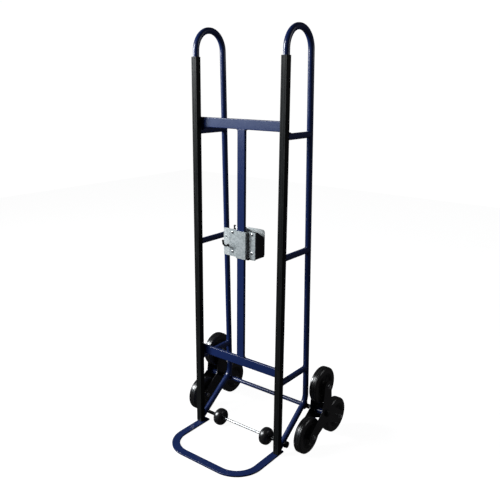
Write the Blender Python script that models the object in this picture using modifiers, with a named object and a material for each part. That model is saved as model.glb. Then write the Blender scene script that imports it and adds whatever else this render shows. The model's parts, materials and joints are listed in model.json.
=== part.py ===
"""Stair climbing trolley: two hooped tube side frames, toe frame, three-wheel clusters, strap carriage.

Metres. +X to the user's right, +Y towards the stair wheels, +Z up. The origin is on the floor, in the
middle of the footprint.
"""

from math import cos, pi, radians, sin, tan

import bmesh
import bpy
from mathutils import Matrix, Vector

GAP = 0.0003                      # between pieces that touch

# Side frames: one bent tube each
TUBE_R = 0.0125
TRACK = 0.2147                    # centre plane of a side frame
HOOP_TOP = 1.7055                 # centre line at the top of the hoop
HOOP_R = 0.0794
LEG_SETBACK = 0.1592              # rear leg behind the front upright, at the hoop
LEG_LEAN = 0.0307                 # how far the rear leg runs back for each metre down
KNEE_Z = 0.169                    # where the rear leg and the foot strut would meet
KNEE_R = 0.060
STRUT_END = (0.004, 0.0205)       # behind the upright, height
FOOT_Z = 0.0085
RUNG_HEIGHTS = {"top": 1.3174, "middle": 0.8546, "bottom": 0.3246}

# Cross bars and the centre bar that the carriage slides on
BAR_SETBACK = 0.0140              # front faces, behind the uprights' centre line
BAR_THICK = 0.0133
CROSS_HEIGHTS = {"top": 1.3530, "bottom": 0.3599}
CROSS_TALL = 0.0394
CENTRE_WIDE = 0.0380

# Edge strips over the uprights
STRIP_WIDE = 0.0288
STRIP_WALL = 0.0016
STRIP_FRONT = -0.0145
STRIP_BACK = 0.0090
STRIP_TOP = 1.6037

# Toe frame: flat bar on the floor
TOE_REACH = 0.2531                # front edge, ahead of the uprights
TOE_HEEL = 0.030                  # ends, behind the uprights
TOE_HALF = 0.2250
TOE_BAR = 0.0343
TOE_THICK = 0.0078
TOE_CORNER = 0.125

# Stair wheels: three on each cluster
ARM = 0.126                       # axle to wheel centres
WHEEL_R = 0.0785
WHEEL_WIDE = 0.0346
RIM_R = 0.0520
CLUSTER_X = 0.2939
PLATE_IN = 0.0285                 # plates' inner faces from the cluster's middle
PLATE_THICK = 0.0040
NUT_THICK = 0.0117
HUB_R = 0.0125
AXLE_R = 0.0092
SLEEVE_R = 0.0102                 # spacer on the axle, from the side frame to the cluster
AXLE_SETBACK = 0.2070
AXLE_Z = ARM * sin(radians(30)) + WHEEL_R
BOLT_R = 0.0052

# Small wheels behind the toe frame
SMALL_R = 0.0380
SMALL_WIDE = 0.0380
SMALL_X = 0.1278
SMALL_SETBACK = 0.0370
SMALL_AXLE_R = 0.0050
SMALL_CAP_R = 0.0145
SMALL_CAP_LONG = 0.0148

# Strap carriage
CARRIAGE_LOW = 0.8148
CARRIAGE_HIGH = 0.9300
SHEET = 0.0025
HAT_LEFT, HAT_RIGHT = -0.067, 0.0655
CROWN_LEFT, CROWN_RIGHT = -0.0228, 0.0282
CROWN_Y = 0.01225                 # middle of the sheet in front of the centre bar
FLANGE_Y = 0.02645
BASE_LEFT = -0.0990
BASE_Y = 0.02925
WEB_Y = 0.0905                    # rear wall of the winch bracket
WEB_LEFT = -0.0240
WINCH_FLOOR = 0.8220
WINCH_ROOF = 0.9035
SPOOL = Vector((0.024, 0.0585))   # upright spool shaft, ahead of FRONT_Y being added
SPOOL_R = 0.0060
ROLL_R = 0.0255
GEAR_R, GEAR_ROOT, TEETH = 0.0200, 0.0155, 12
GEAR_Z = 0.9072
LEVER_ANGLE = radians(144)
LEVER_OFFSET = 0.0095
LEVER_LONG = 0.118
PAWL_PIVOT = Vector((-0.0120, 0.0530))
KNOB = Vector((-0.0505, 0.0400))
HOOK_X = -0.0745

# The footprint is centred on the origin
WHEEL_REACH = AXLE_SETBACK + ARM * cos(radians(30)) + WHEEL_R
FRONT_Y = (TOE_REACH - WHEEL_REACH) / 2

SIDES = {"left": -1, "right": 1}
ACROSS = (0, radians(90), 0)                  # local Z along the object's X
UPRIGHT_X = (radians(90), 0, radians(90))     # a flat outline stood up in the YZ plane


def clear_scene():
    for item in list(bpy.data.objects):
        bpy.data.objects.remove(item)
    bpy.context.scene.unit_settings.system = "METRIC"


def collection(name):
    made = bpy.data.collections.new(name)
    bpy.context.scene.collection.children.link(made)
    return made


def finish(name, colour, roughness, metallic=0.0):
    material = bpy.data.materials.new(name)
    material.use_nodes = True
    shader = material.node_tree.nodes["Principled BSDF"]
    shader.inputs["Base Color"].default_value = (*colour, 1)
    shader.inputs["Roughness"].default_value = roughness
    shader.inputs["Metallic"].default_value = metallic
    return material


clear_scene()
TROLLEY = collection("stair_climbing_trolley")
CUTTERS = collection("cutters")
BLUE = finish("blue_enamel", (0.012, 0.022, 0.11), 0.22)
BLACK = finish("black_plastic", (0.012, 0.013, 0.014), 0.45)
RUBBER = finish("black_rubber", (0.015, 0.015, 0.016), 0.6)
STEEL = finish("black_steel", (0.010, 0.010, 0.012), 0.35)
ZINC = finish("zinc_plate", (0.55, 0.57, 0.58), 0.35, 1.0)
GALVANISED = finish("galvanised_sheet", (0.46, 0.49, 0.50), 0.45, 0.9)
WEBBING = finish("webbing", (0.012, 0.012, 0.013), 0.85)


def place(name, data, material, location=(0, 0, 0), rotation=(0, 0, 0), home=TROLLEY):
    item = bpy.data.objects.new(name, data)
    item.location = location
    item.rotation_euler = rotation
    data.materials.append(material)
    home.objects.link(item)
    if home is CUTTERS:
        item.hide_render = True
        item.display_type = "WIRE"
    return item


def behind(setback):
    """World Y of something this far behind the uprights' centre line."""
    return FRONT_Y + setback


def rounded(corners, radii, steps):
    """The path through these corners, each inner corner turned into an arc."""
    corners = [Vector(c) for c in corners]
    path = [corners[0]]
    for before, corner, after, radius in zip(corners, corners[1:], corners[2:], radii):
        back, on = (before - corner).normalized(), (after - corner).normalized()
        half = back.angle(on) / 2
        centre = corner + (back + on).normalized() * radius / sin(half)
        first = corner + back * radius / tan(half) - centre
        last = corner + on * radius / tan(half) - centre
        turn = first.angle(last)
        for i in range(steps + 1):
            s = i / steps
            path.append(centre + (first * sin((1 - s) * turn) + last * sin(s * turn)) / sin(turn))
    return path + [corners[-1]]


def circle(radius, count, centre=(0, 0)):
    return [
        Vector((centre[0] + radius * cos(2 * pi * i / count), centre[1] + radius * sin(2 * pi * i / count)))
        for i in range(count)
    ]


def tube(name, path, radius, material, sides=16, location=(0, 0, 0)):
    curve = bpy.data.curves.new(name, "CURVE")
    curve.dimensions = "3D"
    curve.bevel_depth = radius
    curve.bevel_resolution = (sides - 4) // 2
    curve.use_fill_caps = True
    spline = curve.splines.new("POLY")
    spline.points.add(len(path) - 1)
    for point, co in zip(spline.points, path):
        point.co = (*co, 1)
    return place(name, curve, material, location)


def flat(name, outlines, thickness, material, location=(0, 0, 0), rotation=(0, 0, 0)):
    """A plate: the first outline is its edge and the others are holes."""
    curve = bpy.data.curves.new(name, "CURVE")
    curve.dimensions = "2D"
    curve.fill_mode = "BOTH"
    curve.extrude = thickness / 2
    for outline in outlines:
        spline = curve.splines.new("POLY")
        spline.points.add(len(outline) - 1)
        spline.use_cyclic_u = True
        for point, co in zip(spline.points, outline):
            point.co = (co[0], co[1], 0, 1)
    return place(name, curve, material, location, rotation)


def as_mesh(item):
    """The same piece as a mesh, which a Boolean can work on."""
    bpy.context.view_layer.update()
    evaluated = item.evaluated_get(bpy.context.evaluated_depsgraph_get())
    mesh = bpy.data.meshes.new_from_object(evaluated)
    work = bmesh.new()
    work.from_mesh(mesh)
    bmesh.ops.remove_doubles(work, verts=work.verts, dist=1e-6)
    bmesh.ops.recalc_face_normals(work, faces=work.faces)
    work.to_mesh(mesh)
    work.free()
    name, home, matrix = item.name, item.users_collection[0], item.matrix_world.copy()
    bpy.data.objects.remove(item)
    made = bpy.data.objects.new(name, mesh)
    made.matrix_world = matrix
    home.objects.link(made)
    return made


def turned(name, profile, material, location=(0, 0, 0), rotation=(0, 0, 0), steps=24, ring=False):
    """A turned piece from (radius, height) pairs that run down its outer side; a ring closes inside."""
    mesh = bpy.data.meshes.new(name)
    count = len(profile)
    edges = [(i, i + 1) for i in range(count - 1)] + ([(count - 1, 0)] if ring else [])
    mesh.from_pydata([(r, 0, h) for r, h in profile], edges, [])
    item = place(name, mesh, material, location, rotation)
    screw = item.modifiers.new("turn", "SCREW")
    screw.steps = screw.render_steps = steps
    screw.use_merge_vertices = True
    screw.merge_threshold = 1e-5
    screw.use_smooth_shade = True
    return item


def sheet(name, section, low, high, thickness, material, location=(0, 0, 0)):
    """Bent sheet metal: an open section drawn in plan, extruded upwards and given a wall."""
    work = bmesh.new()
    points = [work.verts.new((*p, low)) for p in section]
    line = [work.edges.new(pair) for pair in zip(points, points[1:])]
    up = bmesh.ops.extrude_edge_only(work, edges=line)["geom"]
    bmesh.ops.translate(work, verts=[g for g in up if isinstance(g, bmesh.types.BMVert)], vec=(0, 0, high - low))
    mesh = bpy.data.meshes.new(name)
    work.to_mesh(mesh)
    work.free()
    item = place(name, mesh, material, location)
    wall = item.modifiers.new("wall", "SOLIDIFY")
    wall.thickness = thickness
    wall.offset = 0
    wall.use_even_offset = True
    return item


def block(name, low, high, material, home=TROLLEY, soften=0.0):
    work = bmesh.new()
    low, high = Vector(low), Vector(high)
    bmesh.ops.create_cube(work, size=1)
    bmesh.ops.transform(work, matrix=Matrix.Diagonal((*(high - low), 1)), verts=work.verts)
    mesh = bpy.data.meshes.new(name)
    work.to_mesh(mesh)
    work.free()
    item = place(name, mesh, material, (low + high) / 2, home=home)
    if soften:
        edge = item.modifiers.new("edge", "BEVEL")
        edge.width = soften
        edge.segments = 1
    return item


def rod_cutter(name, start, end, radius, sides=32):
    start, end = Vector(start), Vector(end)
    work = bmesh.new()
    bmesh.ops.create_cone(
        work, cap_ends=True, segments=sides, radius1=radius, radius2=radius, depth=(end - start).length
    )
    mesh = bpy.data.meshes.new(name)
    work.to_mesh(mesh)
    work.free()
    turn = (end - start).to_track_quat("Z", "Y").to_euler()
    return place(name, mesh, STEEL, (start + end) / 2, turn, home=CUTTERS)


def boolean(item, other, operation="DIFFERENCE", own_overlap=False):
    step = item.modifiers.new(operation.lower(), "BOOLEAN")
    step.operation = operation
    step.object = other
    step.use_self = own_overlap


def as_cutter(item):
    """Takes a piece out of the trolley, once it has become part of another one."""
    TROLLEY.objects.unlink(item)
    CUTTERS.objects.link(item)
    item.hide_render = True
    item.display_type = "WIRE"
    return item


def leg_setback(z):
    return LEG_SETBACK + LEG_LEAN * (HOOP_TOP - z)


def side_frame(side, sign):
    """Front upright, hoop, rear leg and foot strut are one tube; a lug below the knee holds the axle."""
    corners = [
        (0, FOOT_Z),
        (0, HOOP_TOP),
        (leg_setback(HOOP_TOP), HOOP_TOP),
        (leg_setback(KNEE_Z), KNEE_Z),
        STRUT_END,
    ]
    path = rounded(corners, (HOOP_R, HOOP_R, KNEE_R), 8)
    x = sign * TRACK
    frame = as_mesh(tube(f"side_frame_{side}", [(x, behind(p.x), p.y) for p in path], TUBE_R, BLUE))
    frame.data.materials.clear()
    frame.data.materials.append(BLUE)
    lug_corners = [(-0.030, 0.012), (-0.015, -0.0145), (0.015, -0.0145), (0.005, 0.046)]
    lug = flat(f"axle_lug_{side}", [rounded_loop(lug_corners, 0.012, 4)], 0.008, BLUE,
               (x, behind(AXLE_SETBACK), AXLE_Z), UPRIGHT_X)
    lug = as_cutter(as_mesh(lug))
    boolean(frame, lug, "UNION", own_overlap=True)
    reach = Vector((0.03, 0, 0))
    for name, setback, z, radius in (
        ("axle", AXLE_SETBACK, AXLE_Z, AXLE_R + GAP),
        ("small_axle", SMALL_SETBACK, SMALL_R, SMALL_AXLE_R + GAP),
    ):
        centre = Vector((x, behind(setback), z))
        boolean(frame, rod_cutter(f"{name}_hole_{side}", centre - reach, centre + reach, radius, 24))
    return frame


def rounded_loop(corners, radius, steps):
    """A closed outline with every corner rounded."""
    ring = [corners[-1], *corners, corners[0]]
    return rounded(ring, [radius] * len(corners), steps)[1:-1]


def rungs(side, sign):
    x = sign * TRACK
    clear = TUBE_R + GAP
    front = rod_cutter(f"upright_space_{side}", (x, behind(0), 0), (x, behind(0), HOOP_TOP), clear)
    leg = [(x, behind(leg_setback(z)), z) for z in (KNEE_Z, HOOP_TOP)]
    rear = rod_cutter(f"leg_space_{side}", *leg, clear)
    for level, z in RUNG_HEIGHTS.items():
        ends = [(x, behind(0.002), z), (x, behind(leg_setback(z) - 0.002), z)]
        rung = as_mesh(tube(f"rung_{level}_{side}", ends, TUBE_R, BLUE))
        boolean(rung, front)
        boolean(rung, rear)


def cross_bars():
    front, back = behind(BAR_SETBACK), behind(BAR_SETBACK + BAR_THICK)
    for level, z in CROSS_HEIGHTS.items():
        half = CROSS_TALL / 2
        block(f"cross_bar_{level}", (-TRACK, front, z - half), (TRACK, back, z + half), BLUE, soften=0.0015)
    low = CROSS_HEIGHTS["bottom"] + CROSS_TALL / 2 + GAP
    high = CROSS_HEIGHTS["top"] - CROSS_TALL / 2 - GAP
    half = CENTRE_WIDE / 2
    block("centre_bar", (-half, front, low), (half, back, high), BLUE, soften=0.0015)


def edge_strip(side, sign):
    half = (STRIP_WIDE - STRIP_WALL) / 2
    front = STRIP_FRONT + STRIP_WALL / 2
    section = [(-half, STRIP_BACK), (-half, front), (half, front), (half, STRIP_BACK)]
    sheet(f"edge_strip_{side}", section, FOOT_Z + GAP, STRIP_TOP, STRIP_WALL, RUBBER,
          (sign * TRACK, behind(0), 0))


def toe_frame():
    def bow(inset):
        half, front, radius = TOE_HALF - inset, inset - TOE_REACH, TOE_CORNER - inset
        return rounded(
            [(-half, TOE_HEEL), (-half, front), (half, front), (half, TOE_HEEL)], (radius, radius), 10
        )

    flat("toe_frame", [bow(0) + bow(TOE_BAR)[::-1]], TOE_THICK, BLUE, (0, FRONT_Y, TOE_THICK / 2))


def main_axle():
    half = CLUSTER_X + PLATE_IN + PLATE_THICK
    outer, inner = CLUSTER_X - PLATE_IN - PLATE_THICK - GAP, TRACK + 0.0050
    right = [(0, half), (AXLE_R, half), (AXLE_R, outer), (SLEEVE_R, outer), (SLEEVE_R, inner), (AXLE_R, inner)]
    turned("main_axle", right + [(r, -h) for r, h in right[::-1]], BLUE,
           (0, behind(AXLE_SETBACK), AXLE_Z), ACROSS)
    for side, sign in SIDES.items():
        inner, outer = half + GAP, half + NUT_THICK
        dome = [(0, outer), (0.010, outer), (0.0150, outer - 0.004), (0.0150, inner), (0, inner)]
        turned(f"axle_cap_{side}", dome, BLACK, (0, behind(AXLE_SETBACK), AXLE_Z),
               (0, sign * radians(90), 0))


def spider_outline():
    """Three arms with round ends round the wheel bolts, and a round hub."""
    end, hub = 0.025, 0.043
    outline = []
    for arm in range(3):
        toward = radians(90 + 120 * arm)
        tip = Vector((cos(toward), sin(toward))) * ARM
        waist = toward - radians(60)
        outline.append(Vector((cos(waist), sin(waist))) * hub)
        for i in range(9):
            turn = toward - pi / 2 + pi * i / 8
            outline.append(tip + Vector((cos(turn), sin(turn))) * end)
    return outline


def cluster(side, sign):
    """A three-wheel cluster: it turns as one about the main axle."""
    centre = Vector((sign * CLUSTER_X, behind(AXLE_SETBACK), AXLE_Z))
    wheels = [Vector((cos(a), sin(a))) * ARM for a in (radians(90), radians(210), radians(330))]
    holes = [circle(AXLE_R + GAP, 24)] + [circle(BOLT_R + GAP, 16, w) for w in wheels]
    for which, out in (("inner", -1), ("outer", 1)):
        shift = Vector((out * sign * (PLATE_IN + PLATE_THICK / 2), 0, 0))
        flat(f"cluster_plate_{which}_{side}", [spider_outline()] + holes, PLATE_THICK, STEEL,
             centre + shift, UPRIGHT_X)
    half = PLATE_IN - GAP
    bore = AXLE_R + GAP
    turned(f"cluster_hub_{side}", [(HUB_R, half), (HUB_R, -half), (bore, -half), (bore, half)], BLUE,
           centre, ACROSS, ring=True)
    for number, wheel in enumerate(wheels, 1):
        stair_wheel(f"{side}_{number}", centre + Vector((0, wheel.x, wheel.y)))


def stair_wheel(label, centre):
    half, shoulder = WHEEL_WIDE / 2, 0.006
    inner = RIM_R + GAP
    tread = [(WHEEL_R - shoulder, half), (WHEEL_R, half - shoulder), (WHEEL_R, shoulder - half),
             (WHEEL_R - shoulder, -half), (inner, -half), (inner, half)]
    turned(f"tyre_{label}", tread, RUBBER, centre, ACROSS, 32, ring=True)
    hub, lip, web, bore = PLATE_IN - GAP, 0.0150, 0.0080, BOLT_R + GAP
    rim = [(0.0165, hub), (0.0165, web), (0.0450, web), (0.0450, lip), (RIM_R, lip)]
    rim += [(r, -h) for r, h in rim[::-1]]
    turned(f"rim_{label}", rim + [(bore, -hub), (bore, hub)], BLACK, centre, ACROSS, 24, ring=True)
    plate = PLATE_IN + PLATE_THICK + GAP
    head = plate + NUT_THICK - GAP
    bolt = [(0, head), (0.0080, head), (0.0095, head - 0.0015), (0.0095, plate), (BOLT_R, plate)]
    turned(f"wheel_bolt_{label}", bolt + [(r, -h) for r, h in bolt[::-1]], ZINC, centre, ACROSS, 12)


def small_wheels():
    y, strut_side = behind(SMALL_SETBACK), TRACK - TUBE_R
    half = TRACK + TUBE_R + 0.0005
    collar_out = SMALL_X - SMALL_WIDE / 2 - 0.0005
    collar = [(SMALL_AXLE_R, collar_out), (0.0085, collar_out), (0.0085, collar_out - 0.006),
              (SMALL_AXLE_R, collar_out - 0.006)]
    right = [(0, half), (SMALL_AXLE_R, half)] + collar
    turned("small_axle", right + [(r, -h) for r, h in right[::-1]], ZINC, (0, y, SMALL_R), ACROSS, 16)
    tread, edge, bore = SMALL_R, SMALL_WIDE / 2, SMALL_AXLE_R + GAP
    profile = [(tread - 0.0080, edge), (tread - 0.0018, edge * 0.68), (tread, edge * 0.22)]
    profile += [(r, -h) for r, h in profile[::-1]]
    for side, sign in SIDES.items():
        turned(f"small_wheel_{side}", profile + [(bore, -edge), (bore, edge)], RUBBER,
               (sign * SMALL_X, y, SMALL_R), ACROSS, 32, ring=True)
        start = SMALL_X + edge + 0.0006
        sleeve = [(0.0075, strut_side - 0.0012), (0.0075, start), (bore, start), (bore, strut_side - 0.0012)]
        turned(f"small_axle_spacer_{side}", sleeve, BLACK, (0, y, SMALL_R), (0, sign * radians(90), 0),
               16, ring=True)
        end = half + SMALL_CAP_LONG
        cap = [(0, end), (0.0095, end), (SMALL_CAP_R, end - 0.0045),
               (SMALL_CAP_R, half + GAP), (0, half + GAP)]
        turned(f"small_axle_cap_{side}", cap, BLACK, (0, y, SMALL_R), (0, sign * radians(90), 0), 20)


def carriage_plates():
    home = (0, FRONT_Y, 0)
    section = [(HAT_LEFT, FLANGE_Y), (CROWN_LEFT, FLANGE_Y), (CROWN_LEFT, CROWN_Y),
               (CROWN_RIGHT, CROWN_Y), (CROWN_RIGHT, FLANGE_Y), (HAT_RIGHT, FLANGE_Y)]
    hat = sheet("carriage_front_plate", section, CARRIAGE_LOW, CARRIAGE_HIGH, SHEET, GALVANISED, home)
    notch = block("crown_notch", (CROWN_LEFT - 0.001, behind(0), CARRIAGE_LOW - 0.001),
                  (CROWN_RIGHT + 0.0005, behind(FLANGE_Y - 0.004), CARRIAGE_LOW + 0.014), STEEL, CUTTERS)
    boolean(hat, notch)
    low, high = CARRIAGE_LOW, CARRIAGE_HIGH - 0.001
    middle = (low + high) / 2
    edge = rounded_loop(
        [(BASE_LEFT, low - middle), (HAT_RIGHT, low - middle), (HAT_RIGHT, high - middle),
         (BASE_LEFT, high - middle)], 0.003, 3)
    flat("carriage_base_plate", [edge], SHEET, GALVANISED, (0, behind(BASE_Y), middle),
         (radians(90), 0, 0))


def winch_bracket():
    """Floor, rear wall and roof of bent sheet; the roof carries the upper end of the spool."""
    front, rear = behind(BASE_Y + SHEET / 2 + GAP), behind(WEB_Y)
    web = block("winch_bracket", (WEB_LEFT, rear - SHEET / 2, WINCH_FLOOR - SHEET / 2),
                (HAT_RIGHT - GAP, rear + SHEET / 2, CARRIAGE_HIGH + 0.001), GALVANISED)
    right = HAT_RIGHT - 0.0170
    for name, z in (("winch_floor", WINCH_FLOOR), ("winch_roof", WINCH_ROOF)):
        shelf = block(name, (WEB_LEFT, front, z - SHEET / 2), (right, rear, z + SHEET / 2), GALVANISED, CUTTERS)
        boolean(web, shelf, "UNION")
    spot = Vector((SPOOL.x, behind(SPOOL.y), 0))
    boolean(web, rod_cutter("spool_bearing", spot + Vector((0, 0, 0.80)), spot + Vector((0, 0, 0.95)),
                            SPOOL_R + GAP, 24))


def winch_cover():
    """Black side cover, open towards the spool, with a top that slopes away to the rear."""
    front, back = BASE_Y + SHEET / 2 + GAP, WEB_Y - SHEET / 2 - GAP
    low, high, dip = WINCH_FLOOR - 0.004, CARRIAGE_HIGH + 0.001, 0.033
    slope = [(front + (back - front) * i / 6, high - dip * (i / 6) ** 1.6) for i in range(7)]
    outline = [(front, low), (back, low)] + slope[::-1]
    left, right = HAT_RIGHT - 0.0165, HAT_RIGHT - GAP
    cover = as_mesh(flat("winch_cover", [outline], right - left, BLACK,
                         ((left + right) / 2, FRONT_Y, 0), UPRIGHT_X))
    wall = 0.0022
    inside = [(front + wall, low + wall), (back - wall, low + wall)]
    inside += [(min(max(y, front + wall), back - wall), z - wall) for y, z in slope[::-1]]
    hollow = as_mesh(flat("cover_hollow", [inside], right - left, BLACK,
                          ((left + right) / 2 - wall, FRONT_Y, 0), UPRIGHT_X))
    boolean(cover, as_cutter(hollow))


def ratchet_outline():
    """Saw teeth: each rises slowly and drops at once."""
    outline = []
    for tooth in range(TEETH):
        start = 2 * pi * tooth / TEETH + pi / TEETH
        for turn, radius in ((0, GEAR_ROOT), (1.8 * pi / TEETH, GEAR_R)):
            outline.append(Vector((cos(start + turn), sin(start + turn))) * radius)
    return outline


def winch_spool():
    spot = Vector((SPOOL.x, behind(SPOOL.y), 0))
    top, bottom = GEAR_Z + 0.0145, WINCH_FLOOR - 0.0045
    shaft = turned("ratchet_spool", [(0, top), (SPOOL_R, top), (SPOOL_R, bottom), (0, bottom)], STEEL, spot)
    gear = flat("ratchet_teeth", [ratchet_outline()], 0.005, STEEL, spot + Vector((0, 0, GEAR_Z + 0.0010)))
    boolean(shaft, as_cutter(as_mesh(gear)), "UNION")
    low, high = WINCH_FLOOR + SHEET / 2 + 0.001, WINCH_ROOF - SHEET / 2 - 0.001
    bore = SPOOL_R + GAP
    turned("belt_roll", [(ROLL_R, high), (ROLL_R, low), (bore, low), (bore, high)], WEBBING, spot,
           steps=32, ring=True)


def along_lever(distance, offset=0.0):
    """A point on the lever in plan, from the spool's axis."""
    toward = Vector((cos(LEVER_ANGLE), sin(LEVER_ANGLE)))
    front = Vector((-toward.y, toward.x))
    return Vector((SPOOL.x, SPOOL.y)) + toward * distance + front * offset


def lever_box(name, start, end, half, low, high, material):
    corners = [along_lever(start, LEVER_OFFSET - half), along_lever(end, LEVER_OFFSET - half),
               along_lever(end, LEVER_OFFSET + half), along_lever(start, LEVER_OFFSET + half)]
    return flat(name, [corners], high - low, material, (0, FRONT_Y, (low + high) / 2))


def ratchet_lever():
    low = GEAR_Z + 0.0075
    ring = flat("lever_ring", [circle(0.0125, 24), circle(SPOOL_R + GAP, 24)], 0.004, STEEL,
                (SPOOL.x, behind(SPOOL.y), low + 0.002))
    lever = as_mesh(lever_box("ratchet_lever", -0.014, LEVER_LONG, 0.0022, low, low + 0.0130, STEEL))
    boolean(lever, as_cutter(as_mesh(ring)), "UNION")
    start, end, half = 0.062, LEVER_LONG + 0.004, 0.0055
    grip = as_mesh(lever_box("lever_grip", start, end, half, low - 0.0022, low + 0.0152, BLACK))
    slot = lever_box("grip_slot", start - 0.001, LEVER_LONG + GAP, 0.0022 + GAP, low - GAP, low + 0.0130 + GAP, BLACK)
    boolean(grip, as_cutter(as_mesh(slot)))


def pawls():
    """The holding pawl with its release knob, and the pawl that the lever drives the spool with."""
    low = GEAR_Z - 0.0013
    height = 0.0022
    nose = Vector((cos(radians(196)), sin(radians(196)))) * 0.0170 + SPOOL - PAWL_PIVOT
    tail = KNOB - PAWL_PIVOT
    reach = tail.normalized()
    across = Vector((-reach.y, reach.x)) * 0.0040
    arm = [nose, across, tail + across, tail + reach * 0.004, tail - across, -across * 1.1]
    flat("holding_pawl", [arm], height, STEEL,
         (PAWL_PIVOT.x, behind(PAWL_PIVOT.y), low + height / 2))
    base = low + height + GAP
    top = CARRIAGE_HIGH + 0.0145
    knob = [(0, top), (0.0035, top), (0.0048, top - 0.002), (0.0048, top - 0.007), (0.0032, top - 0.0095),
            (0.0048, top - 0.012), (0.0048, top - 0.018), (0.0030, top - 0.020), (0.0030, base), (0, base)]
    turned("release_knob", knob, BLACK, (KNOB.x, behind(KNOB.y), 0), steps=16)
    pivot = along_lever(0.034, LEVER_OFFSET)
    away = (SPOOL - pivot).normalized()
    reach = SPOOL - away * (GEAR_R + 0.0004)
    wide = Vector((-away.y, away.x)) * 0.0030
    tooth = [pivot - away * 0.003 - wide, pivot - away * 0.003 + wide, reach + wide * 0.4, reach - wide * 0.4]
    low, high = GEAR_Z + 0.0013, GEAR_Z + 0.0075 - GAP
    flat("drive_pawl", [[p - pivot for p in tooth]], high - low, STEEL,
         (pivot.x, behind(pivot.y), (low + high) / 2))


def strap_hook():
    rise = [(BASE_Y - SHEET / 2 - GAP, 0.8620), (0.0120, 0.8620), (-0.0040, 0.8700), (-0.0085, 0.8980)]
    path = rounded(rise, (0.020, 0.020), 5)
    tube("strap_hook", [(HOOK_X, behind(p.x), p.y) for p in path], 0.0035, BLACK, 12)


for side_name, side_sign in SIDES.items():
    side_frame(side_name, side_sign)
    rungs(side_name, side_sign)
    edge_strip(side_name, side_sign)
    cluster(side_name, side_sign)
cross_bars()
toe_frame()
main_axle()
small_wheels()
carriage_plates()
winch_bracket()
winch_cover()
winch_spool()
ratchet_lever()
pawls()
strap_hook()
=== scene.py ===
"""Looks of the stair climbing trolley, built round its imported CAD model."""

import json
from math import atan2, cos, pi, radians, sin, sqrt, tan

import bmesh
import bpy
from mathutils import Matrix, Vector


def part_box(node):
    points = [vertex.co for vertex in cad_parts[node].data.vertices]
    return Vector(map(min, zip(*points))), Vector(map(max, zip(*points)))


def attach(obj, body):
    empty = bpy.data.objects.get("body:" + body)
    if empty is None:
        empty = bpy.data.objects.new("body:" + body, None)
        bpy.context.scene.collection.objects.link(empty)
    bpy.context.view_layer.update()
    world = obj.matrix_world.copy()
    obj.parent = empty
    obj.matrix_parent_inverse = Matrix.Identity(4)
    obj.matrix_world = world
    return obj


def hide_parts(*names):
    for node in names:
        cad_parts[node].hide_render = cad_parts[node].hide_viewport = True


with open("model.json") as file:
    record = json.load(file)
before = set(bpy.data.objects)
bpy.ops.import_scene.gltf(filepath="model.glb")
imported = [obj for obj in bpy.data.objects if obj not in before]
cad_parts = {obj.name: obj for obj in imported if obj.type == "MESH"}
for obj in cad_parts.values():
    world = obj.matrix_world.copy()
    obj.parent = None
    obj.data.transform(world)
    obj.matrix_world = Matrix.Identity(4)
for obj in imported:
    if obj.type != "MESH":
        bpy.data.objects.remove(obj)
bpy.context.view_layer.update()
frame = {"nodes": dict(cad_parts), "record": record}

SIDES = {"left": -1, "right": 1}
X, Y, Z = Vector((1, 0, 0)), Vector((0, 1, 0)), Vector((0, 0, 1))

# The frame's main lines, taken from the CAD model
LOW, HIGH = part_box("side_frame_right")
TUBE_R = (HIGH.x - LOW.x) / 2
TRACK = (HIGH.x + LOW.x) / 2
FRONT = LOW.y + TUBE_R
FOOT_Z = LOW.z
HOOP_TOP = HIGH.z - TUBE_R
HOOP_R = 0.0794
LEG_SETBACK, LEG_LEAN = 0.1592, 0.0307
KNEE_Z, KNEE_R = 0.169, 0.060
STRUT_END = (0.004, 0.0205)

CLUSTER_LOW, CLUSTER_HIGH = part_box("cluster_hub_right")
CLUSTER_X = (CLUSTER_LOW.x + CLUSTER_HIGH.x) / 2
AXLE = (CLUSTER_LOW + CLUSTER_HIGH) / 2
WHEEL_TURNS = (radians(90), radians(210), radians(330))
TOP_LOW, TOP_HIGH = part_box("tyre_right_1")
WHEEL_R = (TOP_HIGH.z - TOP_LOW.z) / 2
WHEEL_HALF = (TOP_HIGH.x - TOP_LOW.x) / 2
ARM = (TOP_HIGH.z + TOP_LOW.z) / 2 - AXLE.z


def behind(setback):
    return FRONT + setback


def leg_setback(z):
    return LEG_SETBACK + LEG_LEAN * (HOOP_TOP - z)


# ---------------------------------------------------------------- finishes


class Wire:
    """A node's output. Sums on wires and numbers add Math nodes."""

    def __init__(self, paint, socket):
        self.paint, self.socket = paint, socket

    def join(self, operation, *others):
        inputs = dict(enumerate((self, *others)))
        return self.paint.node("ShaderNodeMath", {"operation": operation}, inputs)

    def __add__(self, other):
        return self.join("ADD", other)

    def __sub__(self, other):
        return self.join("SUBTRACT", other)

    def __rsub__(self, other):
        return self.join("MULTIPLY", -1).join("ADD", other)

    def __mul__(self, other):
        return self.join("MULTIPLY", other)

    __radd__, __rmul__ = __add__, __mul__


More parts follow.
